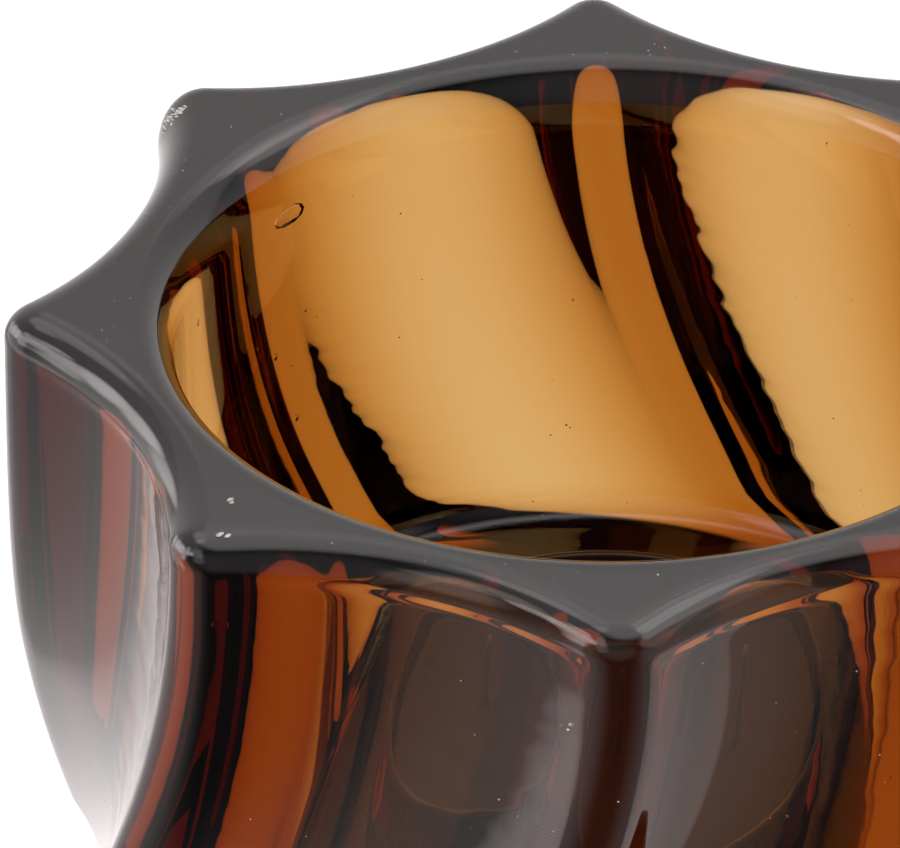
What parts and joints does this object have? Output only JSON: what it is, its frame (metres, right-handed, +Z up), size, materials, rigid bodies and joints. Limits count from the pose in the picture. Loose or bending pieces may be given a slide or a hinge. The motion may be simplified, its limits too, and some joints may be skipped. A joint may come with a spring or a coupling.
{
  "type": "tealight holder",
  "caption": "Thick amber glass bowl with a twisted star-shaped outside and a round well that holds a lift-out tealight in a dark foil cup.",
  "frame": {"origin": "the middle of the base, on the plane that the holder stands on", "axes": "+Z up along the bowl's axis; at the rim a point of the star is on +X"},
  "size_m": [0.092, 0.092, 0.06],
  "materials": {
    "amber_glass": "clear deep amber glass, fire polished",
    "lacquered_foil": "aluminium foil lacquered dark brown, satin",
    "brown_wax": "dark brown scented wax, slightly translucent",
    "tinned_steel": "thin tinned sheet",
    "waxed_cotton": "braided cotton soaked in the brown wax"
  },
  "bodies": {
    "bowl": {"glass_bowl": "amber_glass"},
    "tealight": {"tealight_cup": "lacquered_foil", "wax_fill": "brown_wax", "wick_tab": "tinned_steel", "wick": "waxed_cotton"}
  },
  "joints": [
    {"name": "tealight_lift", "type": "slide", "parent": "bowl", "child": "tealight", "axis": [0, 0, 1], "range_m": [0, 0.06]}
  ]
}
